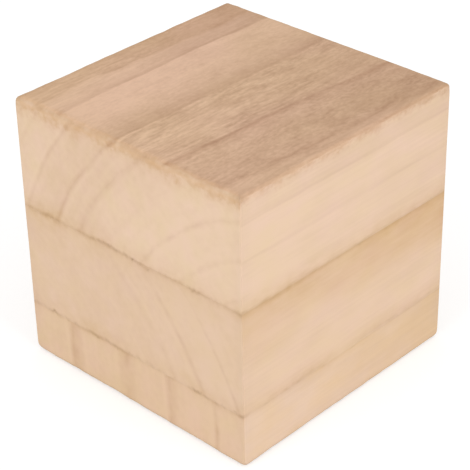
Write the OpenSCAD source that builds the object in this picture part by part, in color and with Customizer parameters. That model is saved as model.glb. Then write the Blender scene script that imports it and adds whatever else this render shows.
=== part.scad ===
// Solid wooden cube, glued up from three flat boards and planed square as one block.
// X runs along the grain of all three boards, Y across them and Z up through the stack.
// The origin is the centre of the underside, so the block stands on z = 0.
// Lengths are in millimetres.

/* [Block] */
// Length of the block along the grain
block_length = 100; // [60:1:180]
// Width of the block across the grain
block_width = 100; // [60:1:180]

/* [Boards] */
// Thickness of the thin board at the bottom of the stack
bottom_board_t = 20.4; // [12:0.1:60]
// Thickness of the middle board
middle_board_t = 39; // [12:0.1:60]
// Thickness of the top board
top_board_t = 40.6; // [12:0.1:60]

/* [Eased arrises] */
// Radius sanded on the four edges round the top face
top_arris_r = 2; // [0.3:0.1:6]
// Radius sanded on the four edges round the foot
foot_arris_r = 1.8; // [0.3:0.1:6]
// Radius sanded on the four upright edges
upright_arris_r = 0.6; // [0.3:0.1:6]

/* [Hidden] */

// Every sanded radius is a true arc
$fn = 64;

// Heights of the two glue lines and of the top face above the foot
lower_glue_z = bottom_board_t;
upper_glue_z = lower_glue_z + middle_board_t;
block_height = upper_glue_z + top_board_t;

// A slab that cuts one board out of the block reaches this far past the faces it doesn't cut
slab_margin = 5;

// Rectangle centred on X with its foot on y = 0. Its two lower and two upper corners have
// their own radii.
module eased_outline(width, height, lower_r, upper_r) {
    lower_w = width - 2 * lower_r;
    upper_w = width - 2 * upper_r;
    translate([-lower_w / 2, 0]) square([lower_w, height - upper_r]);
    translate([-upper_w / 2, lower_r]) square([upper_w, height - lower_r]);
    translate([-width / 2, lower_r]) square([width, height - lower_r - upper_r]);
    for (side = [-1, 1]) {
        translate([side * lower_w / 2, lower_r]) circle(r = lower_r);
        translate([side * upper_w / 2, height - upper_r]) circle(r = upper_r);
    }
}

// Front outline of the block, drawn out to its depth. The depth runs along Y.
module eased_bar(width, depth) {
    translate([0, depth / 2, 0])
        rotate([90, 0, 0])
            linear_extrude(depth)
                eased_outline(width, block_height, foot_arris_r, top_arris_r);
}

// Plan of the block, drawn up to its height
module eased_plan() {
    translate([0, -block_width / 2, 0])
        linear_extrude(block_height)
            eased_outline(block_length, block_width, upright_arris_r, upright_arris_r);
}

// The whole block as it is machined after gluing. Its faces run flush across the boards, and
// where two sanded arrises meet at a corner they meet in a mitre.
module planed_block() {
    intersection() {
        eased_bar(block_length, block_width);
        rotate([0, 0, 90]) eased_bar(block_width, block_length);
        eased_plan();
    }
}

// The part of the block between two heights, which is one board of the stack
module board(from_z, to_z) {
    slab_length = block_length + 2 * slab_margin;
    slab_width = block_width + 2 * slab_margin;
    intersection() {
        planed_block();
        translate([-slab_length / 2, -slab_width / 2, from_z])
            cube([slab_length, slab_width, to_z - from_z]);
    }
}

// Wide flat-sawn board at the top, which carries the eased top arrises
module top_board() {
    color([0.84, 0.69, 0.56])
        board(upper_glue_z, block_height + slab_margin);
}

// Middle board, glued face to face between the other two
module middle_board() {
    color([0.89, 0.75, 0.62])
        board(lower_glue_z, upper_glue_z);
}

// Thin quarter-sawn board at the bottom, which carries the eased foot
module bottom_board() {
    color([0.88, 0.73, 0.59])
        board(-slab_margin, lower_glue_z);
}

top_board();
middle_board();
bottom_board();
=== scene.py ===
"""Wooden cube: three paulownia boards glued face to face, planed square and sanded by hand.

X runs along the grain, Y across it and Z up. The origin is the centre of the underside.
"""
import math
from collections import namedtuple
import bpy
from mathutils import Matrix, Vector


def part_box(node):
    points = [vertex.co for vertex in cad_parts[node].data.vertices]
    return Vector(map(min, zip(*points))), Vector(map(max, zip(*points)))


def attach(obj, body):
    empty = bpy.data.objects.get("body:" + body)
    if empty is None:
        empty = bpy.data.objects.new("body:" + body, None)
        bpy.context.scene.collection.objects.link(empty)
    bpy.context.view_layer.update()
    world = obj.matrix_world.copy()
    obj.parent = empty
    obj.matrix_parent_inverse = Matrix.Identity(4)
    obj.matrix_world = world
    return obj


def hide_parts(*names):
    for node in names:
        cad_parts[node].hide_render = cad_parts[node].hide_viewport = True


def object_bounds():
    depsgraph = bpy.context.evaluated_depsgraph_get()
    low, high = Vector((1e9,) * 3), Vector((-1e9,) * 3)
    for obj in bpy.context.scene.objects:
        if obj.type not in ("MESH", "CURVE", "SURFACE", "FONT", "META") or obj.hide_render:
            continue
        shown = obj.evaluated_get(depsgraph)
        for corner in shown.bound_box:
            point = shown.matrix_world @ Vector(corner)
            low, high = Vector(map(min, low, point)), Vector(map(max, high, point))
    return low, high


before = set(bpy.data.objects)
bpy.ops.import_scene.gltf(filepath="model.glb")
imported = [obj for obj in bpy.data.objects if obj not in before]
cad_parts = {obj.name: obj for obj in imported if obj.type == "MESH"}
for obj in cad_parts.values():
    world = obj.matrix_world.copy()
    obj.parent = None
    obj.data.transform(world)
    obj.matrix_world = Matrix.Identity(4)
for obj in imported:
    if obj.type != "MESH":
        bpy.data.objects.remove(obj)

from types import SimpleNamespace

import bmesh
import bpy
from mathutils import Matrix, Vector, noise

CAD_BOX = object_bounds()
MM = 0.001


def put_in_scene(name, data):
    """A new object in the scene, made of a mesh, a lamp or a camera."""
    thing = bpy.data.objects.new(name, data)
    bpy.context.scene.collection.objects.link(thing)
    return thing


# ---------------------------------------------------------------- camera

LENS_MM = 131.724
SENSOR_MM = 36.0
CAMERA_PLACE = Vector((-0.3599719, -0.3466885, 0.3506959))
CAMERA_RIGHT = Vector((0.6859745, -0.7273983, -0.0181884))
CAMERA_UP = Vector((0.3907466, 0.3471774, 0.8525168))

lens = bpy.data.cameras.new("camera")
lens.lens = LENS_MM
lens.sensor_width = SENSOR_MM
lens.clip_start = 0.01
camera = put_in_scene("camera", lens)
turned = Matrix((CAMERA_RIGHT, CAMERA_UP, CAMERA_RIGHT.cross(CAMERA_UP))).transposed()
camera.matrix_world = Matrix.Translation(CAMERA_PLACE) @ turned.to_4x4()
bpy.context.scene.camera = camera

# ---------------------------------------------------------------- sizes, in millimetres


def in_mm(length):
    """A length of the frame in millimetres, without the noise in its last digits."""
    return round(length / MM, 3)


HALF = in_mm(CAD_BOX[1].x)
LOWER_GLUE_Z = in_mm(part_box("bottom_board")[1].z)
UPPER_GLUE_Z = in_mm(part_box("middle_board")[1].z)
HEIGHT = in_mm(CAD_BOX[1].z)

# Sanded radius of the edges round the top face and round the foot. A side is named by the way
# it faces, and its edge runs from the first radius to the second along X or Y.
TOP_ARRIS = {"-x": (2.1, 2.3), "+x": (1.5, 1.9), "-y": (1.2, 1.1), "+y": (2.2, 1.8)}
FOOT_ARRIS = {"-x": (2.4, 2.5), "+x": (2.0, 2.2), "-y": (2.3, 2.0), "+y": (2.5, 2.2)}
# The boards are planed flush after gluing, so there is no groove along a glue line
GLUE_ARRIS = dict.fromkeys(TOP_ARRIS, (0, 0))
UPRIGHT_ARRIS_R = 0.35
# How much rounder each upright edge is at its very top, by the signs of x and y, and at its foot.
# Each fades out over a stretch of the edge.
TOP_ROUNDING = {(-1, -1): 0.5, (1, -1): 0.9, (1, 1): 1.5, (-1, 1): 0.8}
TOP_STRETCH = 5.0
FOOT_ROUNDING = 1.3
FOOT_STRETCH = 4.0

# Distances in from an edge at which a board's faces are cut, so that its arris rounds well, and
# the distance between the cuts from there on
EDGE_CUTS = (0.0, 0.06, 0.2, 0.4, 0.65, 0.95, 1.3, 1.7, 2.2, 2.8, 3.6, 4.6)
FACE_CUT = 1.6


def srgb(code):
    """Linear colour of an sRGB value such as E7C9A9."""
    parts = [int(code[i:i + 2], 16) / 255 for i in (0, 2, 4)]
    return tuple(((c + 0.055) / 1.055) ** 2.4 if c > 0.04045 else c / 12.92 for c in parts) + (1,)


def empty_tree(owner):
    """The node tree of a material or a world, without the nodes that it comes with."""
    owner.use_nodes = True
    owner.node_tree.nodes.clear()
    return owner.node_tree


def add(tree, kind, *values, out=0, stops=(), sockets=None, **settings):
    """Adds a node and gives one of its outputs.

    values and sockets fill its inputs, by order and by name, with numbers or other outputs. A sum
    or product of more than two values takes a further node for each value after the second.
    stops are (place, value) or (place, red, green, blue) sets of a ramp.
    """
    if settings.get("operation") in ("ADD", "MULTIPLY") and len(values) > 2:
        values = (add(tree, kind, *values[:-1], **settings), values[-1])
    node = tree.nodes.new("ShaderNode" + kind)
    for name, setting in settings.items():
        setattr(node, name, setting)
    for stop in stops[1:-1]:
        node.color_ramp.elements.new(stop[0])
    for element, (place, *tones) in zip(node.color_ramp.elements if stops else (), stops):
        element.position = place
        element.color = (*tones, 1) if len(tones) == 3 else (*tones * 3, 1)
    for key, value in list(enumerate(values)) + list((sockets or {}).items()):
        if isinstance(value, bpy.types.NodeSocket):
            tree.links.new(value, node.inputs[key])
        elif value is not None:
            node.inputs[key].default_value = value
    return node.outputs[out] if node.outputs else None


# ---------------------------------------------------------------- boards


def arris_radius(arris, p, out, seed):
    """Sanded radius at a place, whose surface faces out. Hand sanding leaves it uneven."""
    by_x = arris["+x" if p.x > 0 else "-x"]
    by_y = arris["+y" if p.y > 0 else "-y"]
    radius_x = by_x[0] + (by_x[1] - by_x[0]) * (p.y / HALF + 1) / 2
    radius_y = by_y[0] + (by_y[1] - by_y[0]) * (p.x / HALF + 1) / 2
    radius = radius_x * out.x ** 2 + radius_y * out.y ** 2
    slow = noise.noise(p / 28 + Vector((seed, 0, 0)))
    quick = noise.noise(p / 6 + Vector((0, seed, 0)))
    nicks = noise.noise(p / 2.2 + Vector((0, 0, seed)))
    return radius * (1 + 0.16 * slow + 0.12 * quick + 0.1 * nicks)


def sand(p, low, high, top_arris, foot_arris):
    """Moves a point of the sharp board to the sanded surface. All is in millimetres."""
    depth = HEIGHT - p.z
    rounding = TOP_ROUNDING[1 if p.x > 0 else -1, 1 if p.y > 0 else -1]
    upright_r = UPRIGHT_ARRIS_R * (1 + 0.3 * noise.noise(p / 12))
    upright_r += rounding * max(0, 1 - depth / TOP_STRETCH) ** 2
    upright_r += FOOT_ROUNDING * max(0, 1 - p.z / FOOT_STRETCH) ** 2
    # How far the point lies in from the plan's outline, whose corners are rounded
    over = Vector((abs(p.x) - HALF + upright_r, abs(p.y) - HALF + upright_r))
    if over.x > 0 and over.y > 0:
        inward = upright_r - over.length
        out = over.normalized()
    else:
        inward = HALF - max(abs(p.x), abs(p.y))
        out = Vector((1, 0)) if abs(p.x) > abs(p.y) else Vector((0, 1))
    out = Vector((math.copysign(out.x, p.x), math.copysign(out.y, p.y), 0))
    if inward < 0:
        p = p + out * inward
        inward = 0
    for face_z, way, arris, seed in ((high, -1, top_arris, 3.1), (low, 1, foot_arris, 8.7)):
        radius = arris_radius(arris, p, out, seed)
        down = (p.z - face_z) * way
        away = Vector((radius - down, radius - inward))
        if away.x > 0 and away.y > 0 and away.length > radius:
            kept = away * (radius / away.length)
            p = p + Vector((0, 0, way)) * (away.x - kept.x) - out * (away.y - kept.y)
            inward += away.y - kept.y
    return p


def make_board(node, top_arris, foot_arris):
    """A board of the block: a cuboid divided into small faces, then sanded."""
    low, high = (Vector(corner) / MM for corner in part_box(node))
    mesh = bmesh.new()
    bmesh.ops.create_cube(mesh, size=1)
    bmesh.ops.translate(mesh, vec=(0.5, 0.5, 0.5), verts=mesh.verts)
    marks = []
    for axis in range(3):
        inner = high[axis] - low[axis] - 2 * EDGE_CUTS[-1]
        steps = round(inner / FACE_CUT)
        places = [low[axis] + t for t in EDGE_CUTS]
        places += [low[axis] + EDGE_CUTS[-1] + inner * i / steps for i in range(1, steps)]
        places += [high[axis] - t for t in reversed(EDGE_CUTS)]
        marks.append(places)
        # The edges along this axis are divided evenly, and their points then move to the marks
        along = [e for e in mesh.edges if abs(e.verts[0].co[axis] - e.verts[1].co[axis]) > 0.5]
        bmesh.ops.subdivide_edges(mesh, edges=along, cuts=len(places) - 2, use_grid_fill=True)
    for vert in mesh.verts:
        spread = [marks[axis][round(vert.co[axis] * (len(marks[axis]) - 1))] for axis in range(3)]
        vert.co = sand(Vector(spread), low.z, high.z, top_arris, foot_arris)
    bmesh.ops.scale(mesh, vec=Vector((MM, MM, MM)), verts=mesh.verts)
    bmesh.ops.recalc_face_normals(mesh, faces=mesh.faces)
    for face in mesh.faces:
        face.smooth = True
    data = bpy.data.meshes.new(node + "_sanded")
    mesh.to_mesh(data)
    mesh.free()
    board = put_in_scene(node + "_sanded", data)
    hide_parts(node)
    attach(board, "root")
    return board


# ---------------------------------------------------------------- the boards' wood

# How a growth ring looks along the grain. It starts at a radius with a porous, browner wood,
# which fades over some millimetres to the dense wood of the ring's end, and with a line that
# fades to the pith and away from it. lean is how far the ring moves out from one end of the board
# to the other, bow is how far its middle lies out from its ends. strokes and vessels are how much
# the grain shows where the board is flat-sawn, as long strokes and as short flecks. drift
# is painted shade: how much browner the flat-sawn wood grows along the board, towards +X, standing
# in for the light falling off away from the left lamp.
Ring = namedtuple("Ring", "start porous dense fade line to_pith away lean bow strokes vessels drift")
# Width of the step in tone from one ring to the next
RING_STEP = 0.6
# From the farthest that a ring can lean or bow one way to the farthest the other way
LEAN_RANGE = 20.0
# The rings of a trunk wander. Between the two radii the wander grows from one width to another.
TRUNK_WANDER = (141, 151, 0.9, 3.2)


def plain_ring(start, porous, line):
    """A ring of a board whose flat-sawn face is hidden, so that it shows on the sides only."""
    return Ring(start, porous, 0.00, 5.0, line, 1.0, 1.2, 0, 0, 0.3, 0.3, 0.14)


# Each board has the centre of its growth rings at pith, (y, z).
# end_lines are the ring lines as they show on the end grain: radius, strength, fade to the pith,
# fade away from it. end_tones is how brown the end grain is across the rings.
# fading is the two heights between which the end lines grow from faint to full, if they do.
# A wood has two tones, a pink one and a yellow one, which lie side by side in soft patches.
# side_falloff_shade is painted shade: how much browner the long grain of the sides grows along
# the board, towards +X, away from the left lamp. side_yellowing is how much yellower it grows.
# tan_zone is the two radii between which a tan zone begins, and its strength at the two ends of
# the long grain, if the board has such a zone.


class TopBoard:
    node = "top_board"
    arrises = (TOP_ARRIS, GLUE_ARRIS)
    pith = (-81, 6)
    rings = (
        Ring(58.0, 0.00, 0.00, 3.0, 0.00, 1.0, 1.0, 0, 0, 0.3, 0.3, 0.2),
        Ring(65.8, 0.06, 0.00, 3.0, 0.02, 1.0, 1.0, 0, 0, 0.3, 0.3, 0.2),
        Ring(77.9, 0.10, 0.00, 3.0, 0.08, 1.0, 1.0, 0, 0, 0.3, 0.3, 0.2),
        Ring(90.2, 0.20, 0.19, 4.0, 0.12, 0.8, 1.2, 0, 0, 0.4, 0.6, 0.17),
        Ring(100.75, 0.29, 0.20, 8.5, 0.11, 0.5, 1.2, -1.3, 0, 0.35, 1.0, 0.18),
        Ring(110.8, 0.24, 0.16, 7.0, 0.24, 1.7, 0.6, -3.6, 0.6, 0.85, 0.9, 0.17),
        Ring(126.2, 0.28, 0.02, 10.0, 0.10, 0.5, 1.2, -0.6, -0.4, 0.2, 0.65, 0.13),
        Ring(144.3, 0.15, 0.06, 6.0, 0.10, 0.7, 1.8, -0.6, 1.9, 0.35, 0.5, 0.25),
        Ring(152.2, 0.16, 0.13, 6.0, 0.05, 0.6, 1.2, 0, 0, 0.5, 0.7, 0.25),
        Ring(164.0, 0.12, 0.10, 6.0, 0.00, 0.6, 1.2, 0, 0, 0.5, 0.5, 0.25),
    )
    end_lines = ((66.0, 0.10, 1.2, 1.4), (78.8, 0.08, 1.2, 1.6), (91.9, 0.11, 1.5, 1.4),
                 (117.0, 0.10, 1.7, 1.5), (126.3, 0.16, 1.2, 1.5), (139.7, 0.12, 1.2, 1.5),
                 (151.0, 0.05, 1.4, 1.6))
    end_tones = ((60, 0.01), (99, 0.01), (104, 0.03), (112, 0.07), (115, 0.13), (126, 0.12),
                 (129, 0.13), (138.5, 0.12), (141, 0.05), (164, 0.05))
    fading = None
    end_wood = ("E7C8AF", "E4C8A7")
    side_wood = ("E8C8B0", "E6C9A8")
    side_falloff_shade = 0.06
    side_yellowing = 0
    tan_zone = (150.0, 153.0, 0.05, 0.09)


class MiddleBoard:
    node = "middle_board"
    arrises = (GLUE_ARRIS, GLUE_ARRIS)
    pith = (90, -41)
    rings = (
        plain_ring(90.0, 0.05, 0.05), plain_ring(112.0, 0.08, 0.05), plain_ring(126.0, 0.08, 0.08),
        plain_ring(137.6, 0.10, 0.08), plain_ring(151.2, 0.08, 0.06), plain_ring(172.0, 0.08, 0.06),
    )
    end_lines = ((126.0, 0.07, 2.0, 1.8), (137.6, 0.13, 1.6, 1.4), (151.2, 0.13, 1.2, 1.3))
    end_tones = ((85, 0.05), (115, 0.035), (150, 0.015), (172, 0.015))
    fading = (56, 40)
    end_wood = ("E2C3A9", "E0C2A1")
    side_wood = ("E6C6AD", "E5C7A6")
    side_falloff_shade = 0.03
    side_yellowing = 0
    tan_zone = (160.0, 168.5, 0.16, 0.32)


class BottomBoard:
    node = "bottom_board"
    arrises = (GLUE_ARRIS, FOOT_ARRIS)
    pith = (249, 8)
    rings = (
        plain_ring(200.0, 0.05, 0.05), plain_ring(219.0, 0.08, 0.05), plain_ring(245.5, 0.08, 0.08),
        plain_ring(266.0, 0.10, 0.08), plain_ring(287.0, 0.08, 0.06), plain_ring(310.0, 0.08, 0.06),
    )
    end_lines = ((218.8, 0.20, 2.2, 6.0), (245.6, 0.15, 4.5, 4.5), (265.8, 0.18, 2.0, 4.5),
                 (286.8, 0.20, 1.6, 1.6))
    end_tones = ((200, 0.05), (207, 0.02), (213, 0.035), (240, 0.025), (250, 0.05), (256, 0.02),
                 (300, 0.02))
    fading = None
    end_wood = ("E1C0A4", "DFC19D")
    side_wood = ("E6C8AE", "E5C59F")
    side_falloff_shade = 0.11
    side_yellowing = 0.9
    tan_zone = None


TOP_WOOD = ("E9C1A3", "E6C19D")
GRAIN_AND_SHADE_BROWN = "865126"
RING_BROWN = "8A4A14"
END_LINE_BROWN = "A16A39"
GLUE_TAN_AND_SHADE = "B68738"
ZONE_TAN = "C18D2B"
WORN_TAN = "CFA880"
GLUE_FILM = "80552C"
DIRT_AND_EDGE_SHADE = "7A5A44"

# ---------------------------------------------------------------- glue lines

# A glue line has its height and three profiles.
# spread is how strongly the glue has stained the wood, by the distance above the line.
# on_end runs along the end grain from the back to the front and on_side along the long grain,
# from 0 to 1. Each of their stops holds the strength of the stain, the strength of the dark film
# and how far the film wanders up from its mean height, in millimetres.

# From the farthest that a glue film can wander down to the farthest up
WANDER_RANGE = 4.0


class UpperGlue:
    height = UPPER_GLUE_Z
    spread = ((-12.0, 0.0), (-8.0, 0.1), (-5.4, 0.2), (-3.0, 0.3), (-1.5, 0.5), (-0.5, 0.75), (0.5, 0.75),
              (1.2, 0.55), (2.8, 0.36), (5.0, 0.15), (8.0, 0.0))
    on_end = (
        (0.00, 0.15, 0.1, 0.0), (0.03, 0.30, 0.2, 0.0), (0.10, 0.40, 0.4, -0.1), (0.19, 0.42, 0.45, 0.0),
        (0.22, 0.18, 0.2, 0.2), (0.28, 0.24, 0.2, 0.3), (0.34, 0.28, 0.5, 0.1), (0.38, 0.28, 0.9, 0.4),
        (0.48, 0.26, 0.9, 0.3), (0.55, 0.30, 0.8, -0.3), (0.59, 0.28, 0.4, -0.8), (0.62, 0.20, 0.2, -0.2),
        (0.70, 0.22, 0.3, 0.0), (0.775, 0.20, 0.3, 0.3), (0.79, 0.28, 1.0, 0.4), (0.81, 0.26, 0.5, 0.2),
        (0.86, 0.22, 0.2, 0.0), (0.95, 0.24, 0.2, 0.0), (0.98, 0.32, 0.5, -0.3), (1.00, 0.34, 0.5, -0.4),
    )
    on_side = (
        (0.00, 0.30, 0.4, 0.0), (0.10, 0.38, 0.2, 0.0), (0.22, 0.42, 0.15, -0.4), (0.30, 0.36, 0.15, -0.2),
        (0.42, 0.28, 0.15, 0.2), (0.58, 0.28, 0.15, 0.2), (0.65, 0.32, 0.15, 0.1), (0.78, 0.32, 0.15, 0.1),
        (0.84, 0.30, 0.2, 0.2), (1.00, 0.32, 0.2, 0.1),
    )


class LowerGlue:
    height = LOWER_GLUE_Z
    spread = ((-4.0, 0.0), (-2.2, 0.12), (-1.2, 0.35), (-0.4, 0.7), (0.5, 0.75), (1.3, 0.6),
              (3.0, 0.4), (6.0, 0.0))
    on_end = (
        (0.00, 0.20, 0.4, 0.0), (0.03, 0.16, 0.4, 0.3), (0.08, 0.12, 0.3, 0.0), (0.115, 0.22, 0.9, 0.4),
        (0.14, 0.14, 0.3, 0.2), (0.24, 0.16, 0.3, 0.0), (0.27, 0.28, 0.6, 0.2), (0.34, 0.28, 0.6, 0.0),
        (0.37, 0.24, 0.7, 0.4), (0.46, 0.20, 0.4, -0.2), (0.52, 0.12, 0.3, 0.4), (0.62, 0.08, 0.1, 0.0),
        (0.75, 0.10, 0.1, 0.2), (0.79, 0.24, 1.0, 0.4), (0.83, 0.16, 0.5, 0.0), (0.88, 0.18, 0.5, -0.4),
        (0.93, 0.10, 0.2, 0.0), (0.98, 0.24, 0.6, 0.2), (1.00, 0.28, 0.7, 0.0),
    )
    on_side = (
        (0.00, 0.28, 0.4, 0.2), (0.04, 0.18, 0.1, 0.2), (0.12, 0.24, 0.1, 0.0), (0.30, 0.26, 0.2, 0.3),
        (0.40, 0.26, 0.1, -0.2), (0.46, 0.14, 0.1, -0.4), (0.54, 0.12, 0.1, 0.4), (0.64, 0.20, 0.1, 0.6),
        (0.72, 0.20, 0.1, 0.6), (1.00, 0.22, 0.2, 0.6),
    )


# ---------------------------------------------------------------- patterns
# A socket's id_data is the node tree that the socket belongs to.


def cloud(place, size, seed, detail=2.0, low=0.3, high=0.7):
    """Noise from 0 to 1, whose patches have the given length, width and depth in mm."""
    tree = place.id_data
    fitted = add(tree, "Mapping", place, (seed, seed * 1.7, seed * 0.6), None,
                 tuple(1 / s for s in size))
    speckle = add(tree, "TexNoise", sockets={
        "Vector": fitted, "Scale": 1.0, "Detail": detail, "Roughness": 0.5})
    return add(tree, "MapRange", speckle, low, high, 0, 1)


def about(value, amount, base=0.0):
    """base, plus amount times how far a value from 0 to 1 is from its middle."""
    tree = value.id_data
    off = add(tree, "Math", value, 0.5, operation="SUBTRACT")
    return add(tree, "Math", off, amount, base, operation="MULTIPLY_ADD")


def tent(value, peak, before, after, strength):
    """strength at the peak of a value, and nothing before and after it."""
    tree = value.id_data
    rise = add(tree, "MapRange", value, peak - before, peak, 0, strength)
    fall = add(tree, "MapRange", value, peak, peak + after, 1, 0)
    return add(tree, "Math", rise, fall, operation="MULTIPLY")


def profile(value, stops, out=0):
    """The value that a list of stops has at a place, or one of its three values."""
    tree = value.id_data
    low, high = stops[0][0], stops[-1][0]
    share = add(tree, "MapRange", value, low, high, 0, 1)
    tones = add(tree, "ValToRGB", share, stops=[
        ((stop[0] - low) / (high - low), *stop[1:]) for stop in stops])
    return tones if len(stops[0]) == 2 else add(tree, "SeparateColor", tones, out=out)


# ---------------------------------------------------------------- sanded paulownia
# A spot is a point of the surface. It gathers what the patterns know about it.


def find_spot(tree):
    """A spot with its place in millimetres, the way it faces and the noises that many share."""
    spot = SimpleNamespace(tree=tree)
    where = add(tree, "TexCoord", out=3)
    place = add(tree, "VectorMath", where, sockets={"Scale": 1 / MM}, operation="SCALE")
    spot.place = place
    spot.unsigned = add(tree, "VectorMath", place, operation="ABSOLUTE")
    spot.x, spot.y, spot.z = (add(tree, "SeparateXYZ", place, out=axis) for axis in range(3))
    spot.along = add(tree, "MapRange", spot.x, -HALF, HALF, 0, 1)
    spot.to_front = add(tree, "MapRange", spot.y, HALF, -HALF, 0, 1)
    # The fine and the coarse unevenness of a sanded border, the fibres and soft patches of tone
    spot.frayed = cloud(place, (1.3, 1.3, 1.3), 71.0, 3.0)
    spot.ragged = cloud(place, (5.0, 5.0, 4.0), 73.0)
    spot.fibres = cloud(place, (42, 1.1, 1.1), 31.0, 3.0)
    spot.mottle = cloud(place, (14, 6, 6), 43.0)
    spot.patch = cloud(place, (16, 9, 9), 45.0, 3.0)

    # Which way the surface faces. Sanding frays the border along an arris.
    off = add(tree, "VectorMath", add(tree, "TexCoord", out=1), operation="ABSOLUTE")
    off_x, off_y, off_z = (add(tree, "SeparateXYZ", off, out=axis) for axis in range(3))
    endwise = add(tree, "Math", off_x, about(spot.frayed, 0.3, about(spot.ragged, 0.4, 1.0)),
                  operation="MULTIPLY")
    spot.end_grain = add(tree, "MapRange", endwise, 0.4, 0.8, 0, 1,
                         interpolation_type="SMOOTHSTEP")
    level = add(tree, "Math", off_z, about(spot.frayed, 0.9, about(spot.ragged, 0.5, 1.0)),
                operation="MULTIPLY")
    level = add(tree, "MapRange", level, 0.15, 0.6, 0, 1, interpolation_type="SMOOTHSTEP")
    # The top's brown wood fades over the arris and a little way down the long sides
    depth = add(tree, "Math", HEIGHT, spot.z, operation="SUBTRACT")
    spot.depth = about(spot.frayed, 2.0, about(spot.ragged, 2.4, depth))
    over = profile(spot.depth, ((0.0, 0.8), (1.0, 0.56), (2.0, 0.28), (3.0, 0.09), (4.0, 0.0)))
    over = add(tree, "Math", over, add(tree, "MapRange", off_x, 0.3, 0.7, 1, 0),
               operation="MULTIPLY")
    spot.flat_sawn = add(tree, "Math", level, over, operation="MAXIMUM")
    upper_half = add(tree, "MapRange", spot.z, HALF, HALF + 1, 0, 1)
    spot.upward = add(tree, "Math", spot.flat_sawn, upper_half, operation="MULTIPLY")
    # How far the surface is from facing square along X, Y or Z: 1 on the arrises, 0 on the faces
    squarest = add(tree, "Math", off_x, off_y, operation="MAXIMUM")
    squarest = add(tree, "Math", squarest, off_z, operation="MAXIMUM")
    spot.arris = add(tree, "MapRange", squarest, 0.985, 0.8, 0, 1)
    spot.off_z = off_z
    return spot


def measure_rings(spot, board):
    """Gives a spot its distance from the pith, on the long grain and on the end grain."""
    tree = spot.tree
    centred = add(tree, "VectorMath", spot.place, (0, *board.pith), operation="SUBTRACT")
    across = add(tree, "VectorMath", centred, (0, 1, 1), operation="MULTIPLY")
    radius = add(tree, "VectorMath", across, out=1, operation="LENGTH")
    radius = about(cloud(spot.place, (7, 4, 4), 7.0), 0.25, radius)
    spot.end_radius = about(cloud(spot.place, (24, 14, 14), 5.0), 0.8, radius)
    wander = about(cloud(spot.place, (34, 20, 20), 2.0), 1.0)
    wander = add(tree, "Math", wander, add(tree, "MapRange", radius, *TRUNK_WANDER),
                 operation="MULTIPLY")
    radius = add(tree, "Math", radius, wander, operation="ADD")

    # A ramp holds values from 0 to 1, so it holds the lean and the bow as shares of a range
    shapes = [(ring.start, 0.5 + ring.lean / LEAN_RANGE, 0.5 + ring.bow / LEAN_RANGE, 0)
              for ring in board.rings]
    lean = about(profile(radius, shapes), -LEAN_RANGE)
    lean = add(tree, "Math", lean, about(spot.along, 1.0), operation="MULTIPLY")
    ends = add(tree, "Math", about(spot.along, 2.0), 2.0, operation="POWER")
    bow = about(profile(radius, shapes, 1), -LEAN_RANGE)
    bow = add(tree, "Math", bow, add(tree, "Math", 1.0, ends, operation="SUBTRACT"),
              operation="MULTIPLY")
    spot.radius = add(tree, "Math", radius, lean, bow, operation="ADD")


def draw_rings(spot, board):
    """Gives a spot the brown of its ring, how the grain shows in it, and the ring lines."""
    tree = spot.tree
    tones = []
    kinds = []
    for ring, following in zip(board.rings, board.rings[1:]):
        end = following.start - RING_STEP
        tones += [(ring.start, ring.porous), (ring.start + ring.fade, ring.dense), (end, ring.dense)]
        kinds += [(radius, ring.strokes, ring.vessels, ring.drift) for radius in (ring.start, end)]
    spot.tone = profile(spot.radius, tones)
    spot.stroked, spot.flecked, spot.drift = (
        profile(spot.radius, kinds, out) for out in range(3))

    lines = 0.0
    for ring in board.rings:
        if ring.line:
            line = tent(spot.radius, ring.start, ring.to_pith, ring.away, ring.line)
            lines = add(tree, "Math", lines, line, operation="ADD")
    uneven = add(tree, "MapRange", cloud(spot.place, (26, 6, 6), 11.0), 0, 1, 0.7, 1.3)
    shown = add(tree, "MapRange", spot.flat_sawn, 0, 1, 0.45, 1)
    spot.lines = add(tree, "Math", lines, uneven, shown, operation="MULTIPLY")

    end_lines = 0.0
    for radius, strength, before, after in board.end_lines:
        line = tent(spot.end_radius, radius, before, after, strength)
        # The wood just inside a line is a little paler
        pale = tent(spot.end_radius, radius - before - 0.7, 1.2, 1.2, -0.3 * strength)
        end_lines = add(tree, "Math", end_lines, line, pale, operation="ADD")
    uneven = add(tree, "MapRange", cloud(spot.place, (30, 6, 6), 13.0), 0, 1, 0.4, 1.45)
    shown = add(tree, "MapRange", spot.z, *board.fading, 0.25, 1) if board.fading else 1.0
    spot.end_lines = add(tree, "Math", end_lines, uneven, shown, operation="MULTIPLY")


def draw_fibres(spot):
    """Gives a spot its strokes, vessels and waves, which follow the bent fibres of the top.

    Real vessels are 0.3 mm wide, so these are drawn wide enough to show.
    """
    tree = spot.tree
    bend = cloud(spot.place, (40, 16, 16), 17.0, 1.0)
    bent = add(tree, "CombineXYZ", 0.0, about(bend, 2.4), about(bend, 2.4))
    bent = add(tree, "VectorMath", spot.place, bent, operation="ADD")
    showing = add(tree, "MapRange", cloud(spot.place, (26, 10, 10), 25.0), 0, 1, 0.7, 1.25)
    showing = add(tree, "Math", showing, add(tree, "MapRange", spot.flat_sawn, 0, 1, 0.16, 1),
                  operation="MULTIPLY")
    strokes = cloud(bent, (9, 1.2, 1.2), 19.0, 2.0, 0.32, 0.68)
    strokes = add(tree, "Math", about(strokes, 0.23), spot.stroked, showing, operation="MULTIPLY")
    spot.strokes = add(tree, "Math", strokes, add(tree, "MapRange", spot.along, 0.4, 0.8, 1.2, 0.6),
                       operation="MULTIPLY")
    vessels = cloud(bent, (1.8, 1.1, 1.1), 21.0, 2.0, 0.32, 0.68)
    spot.vessels = add(tree, "Math", about(vessels, 0.16), spot.flecked, showing,
                       operation="MULTIPLY")
    waves = cloud(bent, (9, 4, 4), 23.0)
    spot.waves = add(tree, "Math", about(waves, 0.14), spot.flecked, showing,
                     operation="MULTIPLY")


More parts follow.
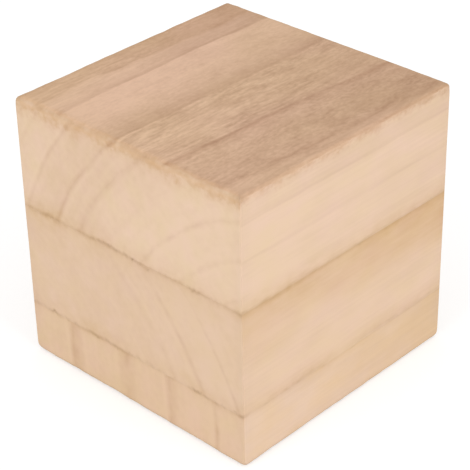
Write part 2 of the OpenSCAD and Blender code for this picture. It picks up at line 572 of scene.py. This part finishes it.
def colour_long_grain(spot, board):
    """Colour of the flat-sawn top and of the long sides."""
    tree = spot.tree
    brown = add(tree, "Math", spot.tone, add(tree, "MapRange", spot.flat_sawn, 0, 1, 0.26, 1),
                operation="MULTIPLY")
    fibred = add(tree, "Math", about(spot.fibres, 1.0),
                 add(tree, "MapRange", spot.flat_sawn, 0, 1, 0.055, 0.03), operation="MULTIPLY")
    brown = add(tree, "Math", brown, fibred, spot.strokes, spot.vessels, spot.waves,
                operation="ADD")
    broadly = add(tree, "MapRange", spot.flat_sawn, 0, 1, 0.5, 1)
    for patches, amount in ((cloud(spot.place, (80, 18, 18), 41.0), 0.08), (spot.mottle, 0.1)):
        browner = add(tree, "Math", about(patches, amount), broadly, operation="MULTIPLY")
        brown = add(tree, "Math", brown, browner, operation="ADD")
    # Painted shade: the wood grows browner towards +X, standing in for the light falling off away from the
    # left lamp
    drift = add(tree, "MixRGB", spot.flat_sawn, (board.side_falloff_shade,) * 3 + (1,), spot.drift)
    drift = add(tree, "Math", spot.along, drift, operation="MULTIPLY")
    brown = add(tree, "Math", brown, drift, operation="ADD")

    side = add(tree, "MixRGB", about(spot.along, board.side_yellowing, spot.patch),
               *map(srgb, board.side_wood))
    top = add(tree, "MixRGB", cloud(spot.place, (40, 26, 26), 46.0, 1.0), *map(srgb, TOP_WOOD))
    wood = add(tree, "MixRGB", spot.upward, side, top)
    colour = add(tree, "MixRGB", brown, wood, srgb(GRAIN_AND_SHADE_BROWN))
    colour = add(tree, "MixRGB", spot.lines, colour, srgb(RING_BROWN))
    if board.tan_zone:
        begins, full, front, back = board.tan_zone
        zone = add(tree, "MapRange", spot.radius, begins, full, 0, 1,
                   interpolation_type="SMOOTHSTEP")
        zone = add(tree, "Math", zone, add(tree, "MapRange", spot.along, 0.3, 0.9, front, back),
                   add(tree, "MapRange", spot.mottle, 0, 1, 0.8, 1.2), operation="MULTIPLY")
        colour = add(tree, "MixRGB", zone, colour, srgb(ZONE_TAN))
    return colour


def colour_end_grain(spot, board):
    """Colour of the end grain: soft rings, faint bands within them and a fine mottle."""
    tree = spot.tree
    brown = add(tree, "Math", profile(spot.end_radius, board.end_tones), spot.end_lines,
                operation="ADD")
    brown = about(cloud(spot.place, (9, 12, 12), 47.0), 0.07, brown)
    brown = about(cloud(spot.place, (2.6, 2.6, 2.6), 49.0, 3.0), 0.06, brown)
    by_ring = add(tree, "CombineXYZ", spot.end_radius, spot.y, spot.z)
    brown = about(cloud(by_ring, (1.6, 60, 60), 59.0, 3.0), 0.03, brown)
    wood = add(tree, "MixRGB", spot.patch, *map(srgb, board.end_wood))
    return add(tree, "MixRGB", brown, wood, srgb(END_LINE_BROWN))


def stain_glue_line(spot, glue, colour):
    """Lays a glue line's tan stain on a colour, and its film, a broken dark line with specks."""
    tree = spot.tree
    ways = []
    for out in range(3):
        on_end, on_side = (
            profile(at, [(*stop[:3], 0.5 + stop[3] / WANDER_RANGE) for stop in stops], out)
            for at, stops in ((spot.to_front, glue.on_end), (spot.along, glue.on_side)))
        ways.append(add(tree, "MixRGB", spot.end_grain, on_side, on_end))
    stained, filmed, wander = ways
    rise = add(tree, "Math", spot.z, -glue.height, about(wander, -WANDER_RANGE),
               about(cloud(spot.place, (6, 4, 30), 53.0), 0.5),
               about(cloud(spot.place, (18, 2.0, 30), 54.0, 3.0), 0.6), operation="ADD")
    blotch = add(tree, "MapRange", cloud(spot.place, (5, 4, 2.5), 51.0), 0, 1, 0.6, 1.35)
    stain = add(tree, "Math", profile(rise, glue.spread), stained, blotch, operation="MULTIPLY")
    colour = add(tree, "MixRGB", stain, colour, srgb(GLUE_TAN_AND_SHADE))

    weaker_on_side = add(tree, "MapRange", spot.end_grain, 0, 1, 0.5, 1)
    smear = add(tree, "Math", tent(rise, 0, 1.7, 1.3, 0.24), stained, blotch, weaker_on_side,
                operation="MULTIPLY")
    whole = add(tree, "MapRange", cloud(spot.place, (24, 2.8, 30), 55.0, 3.0), 0, 1, 0.1, 1.25)
    film = add(tree, "Math", tent(rise, 0, 1.1, 0.9, 0.36), filmed, whole, operation="MULTIPLY")
    dots = cloud(spot.place, (3.2, 1.4, 1.1), 57.0, 1.0, 0.58, 0.74)
    flaky = add(tree, "MapRange", filmed, 0, 1, 0.3, 1)
    specks = add(tree, "Math", dots, tent(rise, 0, 1.8, 1.5, 0.26), flaky, operation="MULTIPLY")
    dark = add(tree, "Math", smear, film, specks, operation="ADD")
    return add(tree, "MixRGB", dark, colour, srgb(GLUE_FILM))


def wear_top_arrises(spot, colour):
    """Rubs the top arrises to an uneven tan, through which the ring lines still show."""
    tree = spot.tree
    broken = about(cloud(spot.place, (6, 6, 6), 61.0, 1.0), 2.6)
    narrower_at_front = add(tree, "MapRange", spot.to_front, 0.93, 1, 0, 1.6)
    down = add(tree, "Math", spot.depth, broken, narrower_at_front, operation="ADD")
    end_worn = profile(down, ((0.0, 0.9), (2.0, 0.84), (3.2, 0.6), (4.2, 0.34), (5.5, 0.14),
                              (8.5, 0.0)))
    long_worn = profile(down, ((0.0, 0.8), (1.0, 0.6), (2.2, 0.15), (4.0, 0.0)))
    long_worn = add(tree, "Math", long_worn, add(tree, "MapRange", spot.along, 0.3, 0.7, 1, 0.25),
                    operation="MULTIPLY")
    worn = add(tree, "MixRGB", spot.end_grain, long_worn, end_worn)
    # On the top itself, the tan lies along the two ends
    endward = add(tree, "Math", add(tree, "Math", spot.x, operation="ABSOLUTE"),
                  add(tree, "Math", broken, 0.6, operation="MULTIPLY"), about(spot.frayed, 1.2),
                  operation="ADD")
    margin = profile(endward, ((HALF - 4, 0.0), (HALF - 1.8, 0.2), (HALF - 1, 0.55), (HALF, 0.85)))
    worn = add(tree, "MixRGB", spot.upward, worn, margin)
    uneven = add(tree, "MapRange", cloud(spot.place, (3, 3, 3), 63.0, 3.0), 0, 1, 0.55, 1.12)
    worn = add(tree, "Math", worn, uneven, operation="MULTIPLY")
    colour = add(tree, "MixRGB", worn, colour, srgb(WORN_TAN))
    marks = add(tree, "MixRGB", spot.end_grain, spot.lines, spot.end_lines)
    marks = add(tree, "Math", worn, marks, 2.5, operation="MULTIPLY")
    return add(tree, "MixRGB", marks, colour, srgb(RING_BROWN))


def wear_and_shade_long_edges(spot, colour):
    """Tears brown streaks out along the long top arrises, partly wear and partly painted shade over the
    highlight of their rounding, rubs the back edge, and darkens the foot with painted shade.
    """
    tree = spot.tree
    # How far in a spot lies from the long top arrises, along the two faces that meet there
    inward = add(tree, "VectorMath", spot.unsigned, (0, -1, -1), out=1, operation="DOT_PRODUCT")
    inward = add(tree, "Math", HALF + HEIGHT, inward, operation="ADD")
    # Along the ridge the brown streaks are partly wear and partly painted shade, over the highlight that
    # the rounding catches
    ridge = profile(inward, ((0.0, 0.15), (1.8, 0.12), (3.4, 0.04), (5.0, 0.0)))
    streaks_and_shade = cloud(spot.place, (7, 1.2, 1.2), 65.0, 3.0, 0.4, 0.72)
    colour = add(tree, "MixRGB", add(tree, "Math", streaks_and_shade, ridge, operation="MULTIPLY"), colour,
                 srgb(GRAIN_AND_SHADE_BROWN))

    back = profile(spot.y, ((-HALF, 0.0), (HALF - 6, 0.0), (HALF - 3, 0.06), (HALF, 0.25)))
    back = add(tree, "Math", back, spot.upward, operation="MULTIPLY")
    # Painted shade along the foot: darker within 3 mm of the underside
    foot = add(tree, "MapRange", spot.z, 0.5, 3.0, 0.1, 0)
    uneven = add(tree, "Math", add(tree, "MapRange", spot.ragged, 0, 1, 0.55, 1.15),
                 about(spot.frayed, 0.4), operation="ADD")
    back_wear_and_foot_shade = add(tree, "Math", add(tree, "Math", back, foot, operation="ADD"), uneven,
                 operation="MULTIPLY")
    return add(tree, "MixRGB", back_wear_and_foot_shade, colour, srgb(GLUE_TAN_AND_SHADE))


def shade_and_soil_arrises(spot, colour):
    """Paints shade along the arrises and the upright edges, against the highlight of their rounding, and
    darkens the corners of the top most, partly as dirt and partly as painted shade.
    """
    tree = spot.tree
    # The corners of the top darken most, partly dirt and partly painted shade over their highlight
    corner = add(tree, "VectorMath", spot.unsigned, (HALF, HALF, HEIGHT), out=1,
                 operation="DISTANCE")
    corner = profile(about(spot.frayed, 2.4, corner),
                     ((0.0, 0.2), (1.4, 0.12), (2.6, 0.03), (4.5, 0.0)))
    # Painted shade over every arris, where the rounding catches more light than the faces
    edge = add(tree, "Math", spot.arris, add(tree, "MapRange", spot.off_z, 0.2, 0.5, 0.13, 0.11),
               operation="MULTIPLY")
    # Painted shade along the upright edges, against their bright line
    upright = add(tree, "VectorMath", spot.unsigned, (-1, -1, 0), out=1, operation="DOT_PRODUCT")
    upright = add(tree, "Math", 2 * HALF, upright, operation="ADD")
    upright = profile(upright, ((0.0, 0.03), (2.5, 0.02), (5.0, 0.0)))
    shade_and_dirt = add(tree, "Math", corner, edge, upright, operation="ADD")
    return add(tree, "MixRGB", shade_and_dirt, colour, srgb(DIRT_AND_EDGE_SHADE))


def paulownia(board):
    """Sanded paulownia: a soft, pale, ring-porous wood with wide rings.

    Sanding leaves it matt. On the flat-sawn top the sander cuts the vessels of the porous wood
    lengthwise, into short dashes. The end grain and the long sides show soft rings only.
    """
    material = bpy.data.materials.new("sanded paulownia, " + board.node)
    tree = empty_tree(material)
    spot = find_spot(tree)
    measure_rings(spot, board)
    draw_rings(spot, board)
    draw_fibres(spot)
    colour = add(tree, "MixRGB", spot.end_grain, colour_long_grain(spot, board),
                 colour_end_grain(spot, board))
    for glue in (UpperGlue, LowerGlue):
        colour = stain_glue_line(spot, glue, colour)
    for wear_and_shade in (wear_top_arrises, wear_and_shade_long_edges, shade_and_soil_arrises):
        colour = wear_and_shade(spot, colour)

    relief = add(tree, "Math", add(tree, "Math", spot.vessels, -5.0, operation="MULTIPLY"),
                 add(tree, "Math", spot.fibres, 0.25, operation="MULTIPLY"),
                 add(tree, "Math", spot.strokes, -2.0, operation="MULTIPLY"), operation="ADD")
    bump = add(tree, "Bump", sockets={"Strength": 0.3, "Distance": 0.06 * MM, "Height": relief})
    rough = add(tree, "MapRange", spot.fibres, 0, 1, 0.66, 0.74)
    surface = add(tree, "BsdfPrincipled", sockets={
        "Base Color": colour, "Roughness": rough, "IOR": 1.5, "Normal": bump})
    add(tree, "OutputMaterial", surface)
    return material


for board in (TopBoard, MiddleBoard, BottomBoard):
    piece = make_board(board.node, *board.arrises)
    piece.data.materials.append(paulownia(board))

# ---------------------------------------------------------------- floor and light

FLOOR_SIZE = 6.0
PAPER_WHITE = "D2D2D2"
PAPER_GLOW = 0.5
WALL_LIGHT = 0.73

mesh = bmesh.new()
bmesh.ops.create_grid(mesh, x_segments=1, y_segments=1, size=FLOOR_SIZE / 2)
data = bpy.data.meshes.new("floor")
mesh.to_mesh(data)
mesh.free()
floor = put_in_scene("floor", data)

# Matt white paper. To the camera it also glows a little, so that it shows white and keeps
# the shadow.
paper = bpy.data.materials.new("matt white paper")
tree = empty_tree(paper)
matt = add(tree, "BsdfDiffuse", srgb(PAPER_WHITE))
seen = add(tree, "LightPath")
glow = add(tree, "Math", seen, PAPER_GLOW, operation="MULTIPLY")
glow = add(tree, "Emission", (1, 1, 1, 1), glow)
add(tree, "OutputMaterial", add(tree, "AddShader", matt, glow))
floor.data.materials.append(paper)

# Studio walls: white to the camera and to reflections, and a soft even light to all else
world = bpy.data.worlds.new("studio")
bpy.context.scene.world = world
tree = empty_tree(world)
seen = add(tree, "LightPath")
glossy = add(tree, "LightPath", out=3)
through = add(tree, "LightPath", out=6)
direct = add(tree, "Math", seen, glossy, operation="MAXIMUM")
direct = add(tree, "Math", direct, through, operation="MAXIMUM")
strength = add(tree, "MapRange", direct, 0, 1, WALL_LIGHT, 1)
add(tree, "OutputWorld", add(tree, "Background", (1, 1, 1, 1), strength))


def add_lamp(name, place, size, watts):
    """A square soft box that faces the middle of the block."""
    data = bpy.data.lights.new(name, "AREA")
    data.size = size
    data.energy = watts
    lamp = put_in_scene(name, data)
    lamp.location = place
    aim = Vector((0, 0, HALF * MM)) - Vector(place)
    lamp.rotation_euler = aim.to_track_quat("-Z", "Y").to_euler()


# Two large soft boxes stand low at the left and the right, so that neither looks along the block's
# diagonal and its front edge gets no bright line
add_lamp("left_box", (-1.9, 0.05, 0.55), 1.0, 13.8)
add_lamp("right_box", (0.0, -1.9, 0.55), 1.0, 14.6)

bpy.context.scene.view_settings.view_transform = "Standard"
